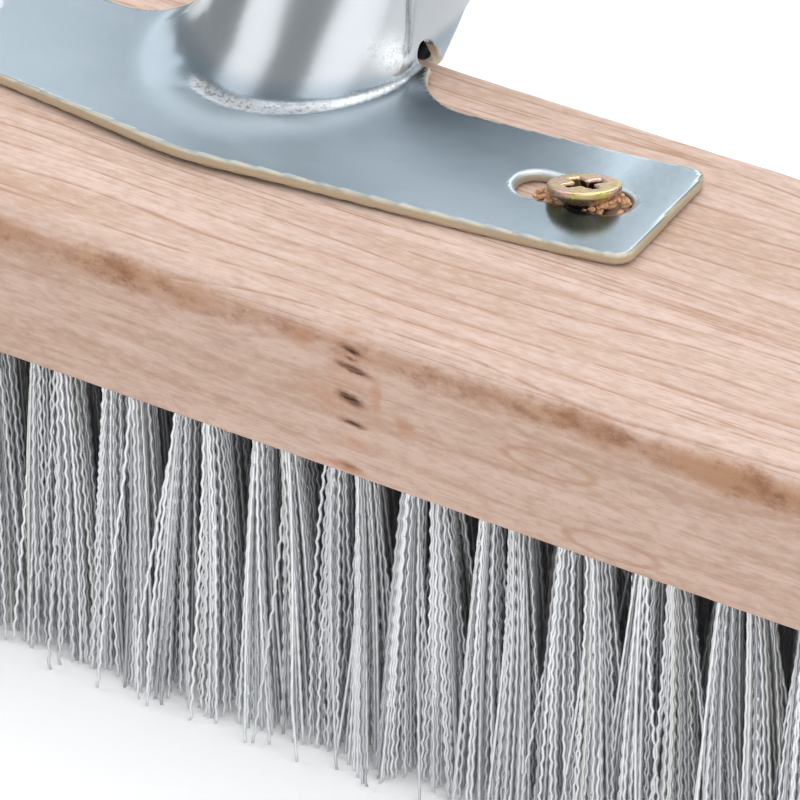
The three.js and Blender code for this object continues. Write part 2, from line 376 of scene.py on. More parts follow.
def bracket_cut(across, y, z, tube, flat):
    """Negative where the sheet is left: the plate, the front of the socket and its wrapped rear half."""
    behind, along = socket_axes(y, z)
    plate = np.maximum(polygon_distance(across, y, OUTLINE), np.abs(flat) - 5)
    upright = np.maximum(np.abs(tube) - 2.5, tube - flat - 0.5)
    upright = np.maximum(upright, np.maximum(PLATE_TOP - SHEET - z, behind - SIDE_LINE))
    wrapped = np.maximum(np.abs(tube) - 2.5, np.maximum(SIDE_LINE - behind - 3, FREE_END - along))
    cut = np.minimum(plate, np.minimum(upright, wrapped))
    relief = np.hypot((behind - SIDE_LINE + 0.9) / RELIEF_STRETCH, along - FREE_END + RELIEF) - RELIEF
    seam = np.maximum(across - 0.6, 5 - behind)
    for opening in (relief, seam, side_hole(across, behind, along)):
        cut = np.maximum(cut, -opening)
    return np.maximum(cut, along - SOCKET_LENGTH)


def bracket_fields(x, y, z):
    """The bracket's sheet as named distances, from which its skin and its masks are made."""
    across = np.abs(x)
    behind, along = socket_axes(y, z)
    flat = z - PLATE_TOP + SHEET / 2 - plate_lift(across)
    crease = crease_distance(across, behind, along)
    tube = side_wing(x, tube_distance(across, behind, along), crease, along)
    middle = bracket_middle(x, tube, behind, flat)
    middle = middle - 0.35 * bump_at(np.hypot(crease - 0.5, along + 1.3), 1.9) * smoothstep(-2, 2, x)
    return {
        "middle": middle,
        "cut": bracket_cut(across, y, z, tube, flat),
        "slot": np.where(np.abs(flat) < 6, slot_distance(across, y), 9),
        "tube": tube,
        "flat": flat,
        "crease": crease,
        "behind": behind,
        "along": along,
    }


def bracket_skin(x, y, z):
    """Zero on the bracket's surface: crisp at its outline, rolled over round the slots."""
    fields = bracket_fields(x, y, z)
    skin = smooth_max(np.abs(fields["middle"]) - SHEET / 2, fields["cut"], 0.45)
    return smooth_max(skin, -fields["slot"], 0.75)


def foot_masks(x, fields):
    """Masks where the socket meets the plate: rubbed band with a painted highlight on it and on the facet,
    painted shade in the line under it, painted sheen on the plate, painted dark reflection on the left flank.
    """
    half = SHEET / 2
    up, out = fields["flat"] - half, fields["tube"] - half
    crease, along = fields["crease"], fields["along"]
    front = smoothstep(SIDE_LINE, SIDE_LINE - 4, fields["behind"]) * smoothstep(-9.5, -5, x)
    # rubbed, pitted band along the foot, lightened further as a painted highlight
    band = bump_at(up - 0.2, 0.34) * smoothstep(1.0, 0.5, out)
    # painted highlight: the small facet where the foot meets the side wing is painted near white
    facet = bump_at(np.hypot((crease + 1.6) / 1.3, along + 1.2), 2.0) * smoothstep(-2, 2, x)
    # painted shade in the line where the socket's foot meets the plate
    dark = bump_at(out - 0.45, 0.5) * smoothstep(1.0, 0.5, up) * smoothstep(14, 8, x)
    # painted sheen: a lighter band on the plate beside the foot
    plate_sheen = bump_at(out - 2.2, 1.3) * smoothstep(1.2, 0.6, up) * smoothstep(-2, 8, x)
    # painted dark reflection down the socket's left flank
    flank = bump_at(fields["behind"] - 0.5, 5.5) * smoothstep(-9, -13, x)
    return {
        "foot_rub_highlight": front * np.maximum(band, facet),
        "foot_crease_shade": front * dark,
        "plate_sheen": front * plate_sheen,
        "flank": flank * smoothstep(0.8, 2.0, up) * smoothstep(13, 7, up),
    }


def bracket_masks(x, fields):
    """Masks for the bracket's material, by name."""
    cut, slot, tube = fields["cut"], fields["slot"], fields["tube"]
    flat, along = fields["flat"], fields["along"]
    edge = smoothstep(-0.42, -0.15, np.maximum(cut, -slot - 0.2))
    # painted shade in the groove along the crease, fading up the socket
    groove = bump_at(fields["crease"], 0.6) * smoothstep(2.4, 1.4, np.abs(tube))
    return {
        "cut_edge": edge * smoothstep(2.0, 0.8, flat),
        # the lighter rim round each slot is a painted highlight
        "slot_rim": bump_at(slot - 0.25, 0.4),
        "drawn": smoothstep(1.4, 4, flat),
        # painted shade on the inside of the socket
        "inside": smoothstep(-0.2, -0.6, tube) * smoothstep(0, 1, flat),
        "crease": groove * smoothstep(30, 8, along) * smoothstep(-0.6, 1, along) * smoothstep(-2, 2, x),
        **foot_masks(x, fields),
    }


def relax(points, quads):
    """Moves each point half way to the middle of its neighbours, which evens the net out."""
    here = quads.ravel()
    ahead, behind = np.roll(quads, -1, axis=1).ravel(), np.roll(quads, 1, axis=1).ravel()
    around = 2 * np.bincount(here)
    total = np.stack([np.bincount(here, points[ahead, k] + points[behind, k]) for k in range(3)], 1)
    return points + 0.5 * (total / around[:, None] - points)


def build_bracket(materials):
    """The whole sheet in one skin, with the normals of its fields."""
    reach = float((sheet_high.x - sheet_low.x) / MM / 2 + 2)
    low = (-reach, -14.0, WOOD_TOP - 12.0)
    high = (reach, (sheet_high.y - MIDDLE.y) / MM + 3, sheet_high.z / MM + 3)
    points, faces = surface_net(bracket_skin, low, high, BRACKET_GRID)
    for _ in range(4):
        points = settle(relax(points, faces), bracket_skin, rounds=2)
    piece = mesh_piece("bracket_sheet", points, [faces], materials)
    shade_by_slope(piece, points, bracket_skin)
    for name, values in bracket_masks(points[:, 0], bracket_fields(*points.T)).items():
        point_mask(piece, name, values)
    return stand_for(piece, "handle_bracket")


# ---------------- wood block

def arc(centre, radius, start, end, count):
    """Points on a round corner, from one angle in degrees to another."""
    angles = np.radians(np.linspace(start, end, count))
    return np.stack([centre[0] + radius * np.cos(angles), centre[1] + radius * np.sin(angles)], 1)


def block_section(step=1.0):
    """Points (y, z) round the block's section, anticlockwise from the bottom front."""
    half, sharp = WIDTH / 2, 0.8
    corners = np.concatenate([
        arc((-half + sharp, WOOD_BOTTOM + sharp), sharp, 180, 270, 4),
        arc((half - sharp, WOOD_BOTTOM + sharp), sharp, 270, 360, 4),
        arc((half - ARRIS, WOOD_TOP - ARRIS), ARRIS, 0, 90, 12),
        arc((-half + ARRIS, WOOD_TOP - ARRIS), ARRIS, 90, 180, 12),
    ])
    section = []
    for here, ahead in zip(corners, np.roll(corners, -1, axis=0)):
        parts = max(1, round(np.linalg.norm(ahead - here) / step))
        section += [here + (ahead - here) * i / parts for i in range(parts)]
    return np.array(section)


def worn_edge(y, z, side):
    """1 on the rounded top edge at the front (side -1) or the back (side 1)."""
    return bump_at(np.hypot(y - side * WIDTH / 2, z - WOOD_TOP + 2.9), 3.3)


def block_points(section):
    """The block's skin as rings of the section, drawn in over a small rounding at both ends."""
    rounding = 1.6
    turn = np.radians(np.array([8, 30, 52, 74, 90]))
    ends = LENGTH / 2 - rounding + rounding * np.cos(turn)
    draws = rounding * (1 - np.sin(turn))
    inner = np.linspace(-ends[-1], ends[-1], 300)[1:-1]
    stations = np.concatenate([-ends, inner, ends[::-1]])
    inset = np.concatenate([draws, np.zeros(len(inner)), draws[::-1]])

    centre = np.array([0, (WOOD_BOTTOM + WOOD_TOP) / 2])
    half = np.array([WIDTH, WOOD_TOP - WOOD_BOTTOM]) / 2
    rings = []
    for x, draw in zip(stations, inset):
        yz = centre + (section - centre) * (half - draw) / half
        rings.append(np.column_stack([np.full(len(yz), x), yz]))
    return np.stack(rings)


def wear(rings):
    """Knocks and sanding waves: up to half a millimetre off the top edges, less elsewhere."""
    x, y, z = np.moveaxis(rings, -1, 0)
    edge = worn_edge(y, z, -1) + worn_edge(y, z, 1)
    slow = waves(x, y, length=40, seed=11)
    quick = waves(x, y, z, length=7, seed=12)
    nicks = np.maximum(waves(x, y, z, length=4, seed=13) - 1.0, 0)
    depth = edge * (0.16 * slow + 0.07 * quick + 0.22 * nicks + 0.2) + 0.03 * slow
    inwards = np.stack([np.zeros_like(y), -y, (WOOD_TOP + WOOD_BOTTOM) / 2 - z], -1)
    inwards /= np.linalg.norm(inwards, axis=-1, keepdims=True)
    upper = smoothstep(WOOD_BOTTOM + 1, WOOD_BOTTOM + 4, z)
    return rings + inwards * (depth * upper)[..., None]


def round_post(x, y, low, high, radius, sides=20):
    """Points, quads and cap triangles of an upright post."""
    turn = np.linspace(0, 2 * math.pi, sides, endpoint=False)
    ring = np.column_stack([x + radius * np.cos(turn), y + radius * np.sin(turn)])
    points = [(*p, low) for p in ring] + [(*p, high) for p in ring] + [(x, y, low), (x, y, high)]
    here, ahead = np.arange(sides), (np.arange(sides) + 1) % sides
    quads = np.column_stack([here, ahead, ahead + sides, here + sides])
    floor = np.column_stack([ahead, here, np.full(sides, 2 * sides)])
    roof = np.column_stack([here + sides, ahead + sides, np.full(sides, 2 * sides + 1)])
    return np.array(points), quads, np.concatenate([floor, roof])


def cut_holes(block):
    """Bores the tufts' blind holes and the screws' pilot holes out of the block."""
    posts = [(x, y, WOOD_BOTTOM - 1, WOOD_BOTTOM + HOLE_DEPTH, HOLE_RADIUS)
             for row in range(ROWS) for x, y in tuft_row(row)]
    posts += [(x, y, WOOD_TOP - 11, WOOD_TOP + 1, 2.6) for x, y in (LEFT_SCREW, RIGHT_SCREW)]
    points, quads, triangles, base = [], [], [], 0
    for post in posts:
        p, q, t = round_post(*post)
        points.append(p)
        quads.append(q + base)
        triangles.append(t + base)
        base += len(p)
    faces = [np.concatenate(quads), np.concatenate(triangles)]
    cutter = mesh_piece("cutter", np.concatenate(points), faces, [])
    modifier = block.modifiers.new("holes", "BOOLEAN")
    modifier.operation = "DIFFERENCE"
    modifier.solver = "MANIFOLD"
    modifier.object = cutter
    cut = bpy.data.meshes.new_from_object(block.evaluated_get(bpy.context.evaluated_depsgraph_get()))
    block.modifiers.clear()
    block.data = cut
    bpy.data.objects.remove(cutter)


def build_block(materials):
    """The block's worn skin, its masks, and then its holes."""
    section = block_section()
    rings = wear(block_points(section))
    count, around = rings.shape[:2]
    points = rings.reshape(-1, 3)
    i = np.arange(count - 1)[:, None] * around
    j = np.arange(around)[None, :]
    ahead = (j + 1) % around
    quads = np.stack([i + j, i + ahead, i + around + ahead, i + around + j], -1).reshape(-1, 4)
    ends = [points[:around].mean(0), points[-around:].mean(0)]
    j, ahead = j.ravel(), ahead.ravel()
    last = (count - 1) * around
    left = np.column_stack([ahead, j, np.full(around, len(points))])
    right = np.column_stack([last + j, last + ahead, np.full(around, len(points) + 1)])
    points = np.vstack([points, ends])
    block = mesh_piece("block_wood", points, [quads, left, right], materials)
    point_mask(block, "edge_front", worn_edge(points[:, 1], points[:, 2], -1))
    point_mask(block, "front_face", smoothstep(1 - WIDTH / 2, 0.3 - WIDTH / 2, points[:, 1]))
    point_mask(block, "end_face", smoothstep(LENGTH / 2 - 0.9, LENGTH / 2 - 0.1, np.abs(points[:, 0])))
    cut_holes(block)
    return stand_for(block, "wood_block")


# ---------------- screws

HEAD_RADIUS, HEAD_TOP, RIM = 4.6, 2.0, 0.8
SHANK, THREAD_PITCH, SCREW_DEPTH = 1.8, 2.2, 11.0
SCREW_GRID = 0.16


def screw_profile():
    """Half section (radius, height) of a countersunk screw that sits proud of its slot."""
    return np.array([
        (-2, -SCREW_DEPTH), (0.2, -SCREW_DEPTH), (SHANK, 2.4 - SCREW_DEPTH), (SHANK, -1.2),
        (2.1, -0.7), (HEAD_RADIUS, HEAD_TOP - RIM), (HEAD_RADIUS, HEAD_TOP - 0.12),
        (HEAD_RADIUS - 0.25, HEAD_TOP), (-2, HEAD_TOP + 0.02),
    ])


PROFILE = screw_profile()


def screw_skin(x, y, z):
    """Zero on the screw's surface: its turned body, its thread and its cross recess."""
    radius = np.hypot(x, y)
    body = polygon_distance(radius, z, PROFILE)
    turn = np.arctan2(y, x) / (2 * math.pi)
    ridge = np.abs((z / THREAD_PITCH - turn) % 1 - 0.5) * 2
    thread = np.maximum(radius - SHANK - 0.75 * ridge ** 3, np.maximum(z + 1.5, 2.6 - SCREW_DEPTH - z))
    body = smooth_min(body, thread * 0.8, 0.1)
    depth = HEAD_TOP - z
    reach = 2.7 - 0.75 * depth
    wing = 0.72 - 0.12 * depth
    cross = np.minimum(
        np.maximum(np.abs(x) - wing, np.abs(y) - reach),
        np.maximum(np.abs(y) - wing, np.abs(x) - reach),
    )
    centre = radius - 1.25 + 0.35 * depth
    recess = smooth_min(np.maximum(cross, depth - 2.2), np.maximum(centre, depth - 2.5), 0.25)
    return smooth_max(body, -recess, 0.22)


def build_screw(name, node, at, spin, tilt, lift, materials):
    """A screw turned to an angle, and leaning by its tilt towards the back left."""
    reach = HEAD_RADIUS + 0.4
    low, high = (-reach, -reach, -SCREW_DEPTH - 0.4), (reach, reach, HEAD_TOP + 0.4)
    points, faces = surface_net(screw_skin, low, high, SCREW_GRID)
    points = settle(points, screw_skin, rounds=3, reach=0.01)
    # mask for the painted shade in the cross recess
    recess = smoothstep(HEAD_TOP - 0.05, HEAD_TOP - 0.35, points[:, 2]) * (np.hypot(*points[:, :2].T) < 2.9)
    turn = math.radians(spin)
    points[:, 0], points[:, 1] = (
        points[:, 0] * math.cos(turn) - points[:, 1] * math.sin(turn),
        points[:, 0] * math.sin(turn) + points[:, 1] * math.cos(turn),
    )
    side = np.array([math.cos(math.radians(31)), math.sin(math.radians(31)), 0])
    lean = -math.radians(tilt)
    along = points @ side
    across = np.cross(side, points)
    points = points * math.cos(lean) + across * math.sin(lean) + np.outer(along, side) * (1 - math.cos(lean))
    points += (at[0], at[1], PLATE_TOP + lift)
    piece = mesh_piece(name, points, [faces], materials)
    point_mask(piece, "recess", recess)
    return stand_for(piece, node)


# ---------------- wood crumbs round the right screw

def build_crumbs(materials):
    """Splinters the screw lifted out of the wood, lying in the slot on both sides of it."""
    rng = np.random.default_rng(SEED)
    low, high = PLATE_TOP - 0.5, PLATE_TOP + 0.7
    heaps = [((1.5, 6.7), (-2.5, 1.4), 60), ((-4.4, -0.6), (-2.3, -0.9), 18)]
    points, faces, base = [], [], 0
    ball = 2 * np.array([(x, y, z) for x in (0, 1) for y in (0, 1) for z in (0, 1)], float) - 1
    sides = np.array([(0, 1, 3, 2), (4, 6, 7, 5), (0, 4, 5, 1), (2, 3, 7, 6), (0, 2, 6, 4), (1, 5, 7, 3)])
    for (u_low, u_high), (w_low, w_high), count in heaps:
        for _ in range(count):
            size = rng.uniform((0.55, 0.35, 0.3), (1.2, 0.7, 0.5))
            chip = (ball + rng.normal(0, 0.16, ball.shape)) * size
            turn, rise = rng.uniform(0, math.pi), rng.normal(0, 0.4)
            level = np.array([math.cos(turn), math.sin(turn), 0])
            ahead = level * math.cos(rise) + np.array([0, 0, math.sin(rise)])
            aside = np.array([-math.sin(turn), math.cos(turn), 0])
            chip = chip @ np.stack([ahead, aside, np.cross(ahead, aside)])
            spot = tab_point(rng.uniform(u_low, u_high), rng.uniform(w_low, w_high))
            points.append(chip + (*spot, rng.uniform(low, high)))
            faces.append(sides + base)
            base += 8
    crumbs = mesh_piece("wood_crumbs", np.concatenate(points), [np.concatenate(faces)], materials)
    bevel = crumbs.modifiers.new("soften", "SUBSURF")
    bevel.levels = bevel.render_levels = 2
    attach(crumbs, BODY)


# ---------------- wire tufts

WIRE_RADIUS, CRIMP_LENGTH, CRIMP_DEPTH = 0.23, 2.5, 0.155
LEG_AT, LEG_PARTING = 1.45, 1.25                  # from the hole's middle to a leg, and its shift by the tips
LEG_SIZE, LEG_SPREAD = (0.78, 2.2), (2.7, 0.75)   # half width and depth of a leg, and their growth


def tuft_row(row):
    """Where the tufts of one row stand; every second row is staggered and has one less."""
    count = ROW_TUFTS - row % 2
    y = (row - (ROWS - 1) / 2) * ROW_PITCH
    return [((i - (count - 1) / 2) * TUFT_PITCH, y) for i in range(count)]


def clumps_of(tufts):
    """A row in threes, with what is left over in the middle."""
    middle = len(tufts) % 3 or 3
    side = (len(tufts) - middle) // 2
    cuts = [*range(0, side, 3), side, *range(side + middle, len(tufts), 3), len(tufts)]
    return [tufts[a:b] for a, b in zip(cuts, cuts[1:])]


def tuft_paths(rng, x, y, wires, rings):
    """Centre lines of a tuft's wires: the legs of a folded bundle, parted by its staple, fanning out."""
    k = np.arange(wires)
    leg = k % 2
    side = np.where(leg, 1.0, -1.0)[:, None]
    radius = np.sqrt((k + 0.5) / wires)
    turn = k * 2.39996 + rng.uniform(0, 2 * math.pi)
    local = np.stack([radius * np.cos(turn), radius * np.sin(turn)], 1) * LEG_SIZE
    local += rng.normal(0, 0.07, (wires, 2))
    lean = rng.normal(0, (0.95, 0.6), (2, 2))[leg]
    stray = rng.normal(0, 1.0, (wires, 2)) * np.where(rng.random(wires) < 0.18, 2.5, 0.45)[:, None]
    limit = TUFT_PITCH / 2 + 1.0

    t = np.linspace(0, 1, rings)
    top = WOOD_BOTTOM + 3
    bottom = np.abs(rng.normal(0, 0.45, wires))
    z = top + (bottom[:, None] - top) * t
    flare = (1 - (1 - t) ** 3)[None, :, None]
    late = (t ** 1.3)[None, :, None]
    bow = rng.normal(0, 0.25, (wires, 1, 2)) * np.sin(math.pi * t)[None, :, None]
    offset = local[:, None] * (1 + np.array(LEG_SPREAD) * late)
    offset = offset + (side * (1, 0))[:, None] * (LEG_AT + LEG_PARTING * flare)
    offset = offset + (lean + stray)[:, None] * late + bow
    offset = np.clip(offset, -limit, limit)
    phase = rng.uniform(0, 2 * math.pi, 2)[leg] + rng.normal(0, 0.8, wires)
    plane = rng.uniform(0, math.pi, 2)[leg] + rng.normal(0, 0.6, wires)
    swing = CRIMP_DEPTH * np.sin(2 * math.pi * z / CRIMP_LENGTH + phase[:, None])
    offset = offset + swing[..., None] * np.stack([np.cos(plane), np.sin(plane)], 1)[:, None]
    return np.concatenate([offset + (x, y), z[..., None]], -1)


def wire_mesh(paths, sides=3):
    """Closed thin rods on the centre lines."""
    wires, rings = paths.shape[:2]
    turn = np.arange(sides) * 2 * math.pi / sides
    ring = WIRE_RADIUS * np.stack([np.cos(turn), np.sin(turn), np.zeros(sides)], 1)
    points = (paths[:, :, None] + ring).reshape(-1, 3)
    base = (np.arange(wires) * rings * sides)[:, None, None]
    up = (np.arange(rings - 1) * sides)[None, :, None]
    here = np.arange(sides)[None, None, :]
    ahead = (here + 1) % sides
    low, high = base + up, base + up + sides
    quads = np.stack([low + here, high + here, high + ahead, low + ahead], -1)
    cap = np.arange(sides)[None, :]
    first = base[:, 0] + cap
    last = base[:, 0] + (rings - 1) * sides + cap[:, ::-1]
    return points, quads.reshape(-1, 4), np.concatenate([first, last])


def build_clump(row, number, tufts, materials):
    """The wires of one clump; the two outer rows are finer than the inner ones."""
    rng = np.random.default_rng([SEED, row, number])
    outer = row in (0, ROWS - 1)
    wires, rings = (108, 62) if outer else (72, 46)
    paths = np.concatenate([tuft_paths(rng, x, y, wires, rings) for x, y in tufts])
    points, quads, caps = wire_mesh(paths)
    # the inner rows get mostly the bright tone: painted light that lifts them out of the outer rows' shade
    shares = (0.58, 0.28, 0.10, 0.04) if outer else (0.86, 0.12, 0.0, 0.02)
    tone = rng.choice(len(materials), size=len(paths), p=shares)
    per_wire = np.repeat(tone, len(quads) // len(paths))
    faces_tone = np.concatenate([per_wire, tone, tone])
    place = f"row{row + 1}_clump{number + 1}"
    piece = mesh_piece(f"wires_{place}", points, [quads, caps], materials, faces_tone)
    return stand_for(piece, f"tufts_{place}")


# ---------------- materials

class Shader:
    """A Principled material with short calls for the nodes used here."""

    def __init__(self, name):
        self.material = bpy.data.materials.new(name)
        self.material.use_nodes = True
        self.tree = self.material.node_tree
        self.surface = self.tree.nodes["Principled BSDF"]
        self.where = self.tree.nodes.new("ShaderNodeTexCoord").outputs["Object"]

    def set(self, **values):
        """Fixed values of the surface; an underscore stands for a space in the input's name."""
        for name, value in values.items():
            self.surface.inputs[name.replace("_", " ")].default_value = value
        return self

    def link(self, value, socket):
        """Connects a node's output to a socket, or writes a plain value into it."""
        if hasattr(value, "links"):
            self.tree.links.new(value, socket)
        else:
            socket.default_value = value

    def drive(self, socket, value):
        self.link(value, self.surface.inputs[socket])

    def mask(self, name):
        """A number stored on the mesh's points."""
        node = self.tree.nodes.new("ShaderNodeAttribute")
        node.attribute_name = name
        return node.outputs["Fac"]

    def stretched(self, scale, shift=(0, 0, 0)):
        """Object coordinates in metres times a scale for each axis: grains per metre, for noise."""
        node = self.tree.nodes.new("ShaderNodeMapping")
        self.link(self.where, node.inputs["Vector"])
        node.inputs["Scale"].default_value = scale
        node.inputs["Location"].default_value = shift
        return node.outputs["Vector"]

    def length(self, vector):
        node = self.tree.nodes.new("ShaderNodeVectorMath")
        node.operation = "LENGTH"
        self.link(vector, node.inputs[0])
        return node.outputs["Value"]

    def noise(self, vector, detail=3.0, rough=0.5, distortion=0.0):
        node = self.tree.nodes.new("ShaderNodeTexNoise")
        self.link(vector, node.inputs["Vector"])
        node.inputs["Scale"].default_value = 1.0
        node.inputs["Detail"].default_value = detail
        node.inputs["Roughness"].default_value = rough
        node.inputs["Distortion"].default_value = distortion
        return node.outputs["Fac"]

    def rings(self, pith, spacing, wander):
        """Thin dark lines where growth rings round a pith along X, at (y, z), come to the surface."""
        scale = 1 / spacing
        vector = self.stretched((0, scale, scale), shift=(0, -pith[0] * scale, -pith[1] * scale))
        drift = self.noise(self.stretched((11, 34, 34)), detail=2, rough=0.45)
        count = self.math("ADD", self.length(vector), self.math("MULTIPLY", drift, wander))
        late = self.math("FRACT", count)
        return self.math("MULTIPLY", self.remap(late, 0.80, 0.94), self.remap(late, 0.995, 0.95))

    def distance(self, spot, reach, tilt=0.0, wobble=0.0006):
        """0 at a spot of the row frame, 1 at its reach each way; wobble, in metres, roughens it."""
        noise = self.tree.nodes.new("ShaderNodeTexNoise")
        self.link(self.stretched((280, 280, 520)), noise.inputs["Vector"])
        shift = self.tree.nodes.new("ShaderNodeVectorMath")
        shift.operation = "MULTIPLY_ADD"
        self.link(noise.outputs["Color"], shift.inputs[0])
        shift.inputs[1].default_value = (wobble, 0, wobble / 2)
        self.link(self.where, shift.inputs[2])
        scaled = self.tree.nodes.new("ShaderNodeMapping")
        scaled.vector_type = "TEXTURE"
        self.link(shift.outputs[0], scaled.inputs["Vector"])
        scaled.inputs["Location"].default_value = (spot[0] + wobble / 2, spot[1], spot[2] + wobble / 4)
        scaled.inputs["Rotation"].default_value = (0, math.radians(tilt), 0)
        scaled.inputs["Scale"].default_value = reach
        return self.length(scaled.outputs[0])

    def near(self, spot, reach, tilt=0.0, wobble=0.0006):
        """1 at a spot, 0 from its reach outwards."""
        return self.remap(self.distance(spot, reach, tilt, wobble), 1.0, 0.1)

    def around(self, spot, reach):
        """1 on a thin loop round a spot."""
        away = self.math("ABSOLUTE", self.math("SUBTRACT", self.distance(spot, reach), 1.0))
        return self.remap(away, 0.22, 0.0)

    def math(self, operation, first, second=0.0, third=0.0):
        """One Math node on outputs or plain numbers."""
        node = self.tree.nodes.new("ShaderNodeMath")
        node.operation = operation
        for value, socket in zip((first, second, third), node.inputs):
            self.link(value, socket)
        return node.outputs["Value"]

    def remap(self, value, from_low, from_high, to_low=0.0, to_high=1.0):
        """An eased Map Range node."""
        node = self.tree.nodes.new("ShaderNodeMapRange")
        node.interpolation_type = "SMOOTHSTEP"
        for item, socket in zip((value, from_low, from_high, to_low, to_high), node.inputs):
            self.link(item, socket)
        return node.outputs["Result"]

    def mix(self, share, first, second, blend="MIX"):
        """The first colour, going over to the second by the share."""
        node = self.tree.nodes.new("ShaderNodeMix")
        node.data_type = "RGBA"
        node.blend_type = blend
        self.link(share, node.inputs["Factor"])
        for value, socket in ((first, node.inputs[6]), (second, node.inputs[7])):
            self.link((*value, 1) if isinstance(value, tuple) else value, socket)
        return node.outputs[2]

    def relief(self, height, distance, strength):
        """Bump of the surface by a height between 0 and 1, of that distance in metres."""
        node = self.tree.nodes.new("ShaderNodeBump")
        node.inputs["Distance"].default_value = distance
        node.inputs["Strength"].default_value = strength
        self.link(height, node.inputs["Height"])
        self.drive("Normal", node.outputs["Normal"])


def zinc_sheet():
    """Bright zinc plate on sheet steel: cloudy and faintly blue, greyer where it was drawn out. Painted
    highlights round the slots and at the foot, painted sheen on the plate, painted shade in the crease, under
    the foot and inside the socket, and a painted dark reflection on the left flank.
    """
    s = Shader("zinc_sheet").set(Metallic=1.0)
    cloud = s.noise(s.stretched((60, 90, 60)), detail=4)
    fine = s.noise(s.stretched((900, 900, 900)), detail=3)
    pits = s.noise(s.stretched((1500, 1500, 1500)), detail=2, rough=0.7)
    tone = s.mix(s.remap(cloud, 0.3, 0.7), (0.207, 0.252, 0.287), (0.235, 0.28, 0.316))
    tone = s.mix(s.mask("drawn"), tone, (0.385, 0.395, 0.415))
    bright, rim, edge = s.mask("foot_rub_highlight"), s.mask("slot_rim"), s.mask("cut_edge")
    # painted highlight: lighter rim round the slots
    tone = s.mix(s.math("MULTIPLY", rim, 0.7), tone, (0.75, 0.77, 0.80))
    # painted shade in the crease groove
    tone = s.mix(s.math("MULTIPLY", s.mask("crease"), 0.7), tone, (0.14, 0.15, 0.16))
    # painted dark reflection on the socket's left flank
    tone = s.mix(s.math("MULTIPLY", s.mask("flank"), 0.85), tone, (0.17, 0.18, 0.195))
    # painted sheen on the plate beside the foot
    tone = s.mix(s.math("MULTIPLY", s.mask("plate_sheen"), 0.8), tone, (0.36, 0.41, 0.45))
    # rubbed, pitted band and facet at the foot: near-white painted highlight, with grey pits
    tone = s.mix(s.math("MULTIPLY", bright, s.remap(pits, 0.38, 0.50, 0.6, 1.0)), tone, (0.85, 0.86, 0.87))
    tone = s.mix(s.math("MULTIPLY", bright, s.remap(pits, 0.50, 0.62, 0.0, 0.45)), tone, (0.32, 0.33, 0.35))
    # painted shade: the dark line under the foot
    dark = s.math("MULTIPLY", s.mask("foot_crease_shade"), s.remap(pits, 0.35, 0.6, 0.85, 0.6))
    tone = s.mix(dark, tone, (0.10, 0.115, 0.13))
    tone = s.mix(s.math("MULTIPLY", edge, 0.95), tone, (0.68, 0.61, 0.47))
    # painted shade inside the socket
    tone = s.mix(s.math("MULTIPLY", s.mask("inside"), 0.9), tone, (0.05, 0.04, 0.035))
    s.drive("Base Color", tone)
    rough = s.math("ADD", s.remap(cloud, 0.25, 0.75, 0.21, 0.26), s.math("MULTIPLY", s.mask("drawn"), -0.03))
    rough = s.math("ADD", rough, s.math("MULTIPLY", s.math("ADD", bright, rim), 0.2))
    s.drive("Roughness", s.math("ADD", rough, s.math("MULTIPLY", edge, 0.35)))
    height = s.math("MULTIPLY_ADD", s.math("MULTIPLY", bright, pits), 0.6, s.math("MULTIPLY", fine, 0.04))
    s.relief(height, 0.00025, 0.6)
    return s.material


def wood_grain(s, loops):
    """Fine straight fibres and thin growth lines; returns the colour and the height of the fibres."""
    fibre = s.noise(s.stretched((16, 1300, 1300)), detail=5, rough=0.6, distortion=0.15)
    streak = s.noise(s.stretched((17, 310, 310)), detail=6, rough=0.62, distortion=0.45)
    grain = s.noise(s.stretched((420, 1300, 1300)), detail=4, rough=0.65)
    mottle = s.noise(s.stretched((130, 260, 260)), detail=5, rough=0.65)
    calm = s.math("MULTIPLY_ADD", s.mask("front_face"), -0.6, 1.0)
    tone = s.mix(s.remap(streak, 0.36, 0.64), (0.535, 0.36, 0.275), (0.675, 0.495, 0.42))
    tone = s.mix(s.remap(mottle, 0.40, 0.62, 0.0, 0.55), tone, (0.61, 0.45, 0.38))
    tone = s.mix(s.math("MULTIPLY", s.remap(fibre, 0.50, 0.66, 0.0, 0.4), calm), tone, (0.50, 0.32, 0.225))
    tone = s.mix(s.remap(grain, 0.48, 0.66, 0.0, 0.38), tone, (0.44, 0.285, 0.21))
    tone = s.mix(s.remap(grain, 0.50, 0.34, 0.0, 0.30), tone, (0.76, 0.60, 0.53))

    vein = s.noise(s.stretched((4, 300, 300), shift=(2, 7, 3)), detail=2, rough=0.4)
    thin = s.remap(s.math("ABSOLUTE", s.math("SUBTRACT", vein, 0.5)), 0.014, 0.0)
    thin = s.math("MULTIPLY", thin, s.math("SUBTRACT", 1.0, s.mask("end_face")))
    ring = s.rings(pith=(0.095, 0.112), spacing=0.0033, wander=4.5)
    fade = s.math("MULTIPLY", s.remap(mottle, 0.36, 0.6, 0.2, 0.85), calm)
    tone = s.mix(s.math("MULTIPLY", s.math("MAXIMUM", thin, ring), fade), tone, (0.42, 0.24, 0.155))
    for spot, reach in loops:
        tone = s.mix(s.math("MULTIPLY", s.around(spot, reach), 0.5), tone, (0.45, 0.25, 0.155))
    return tone, fibre


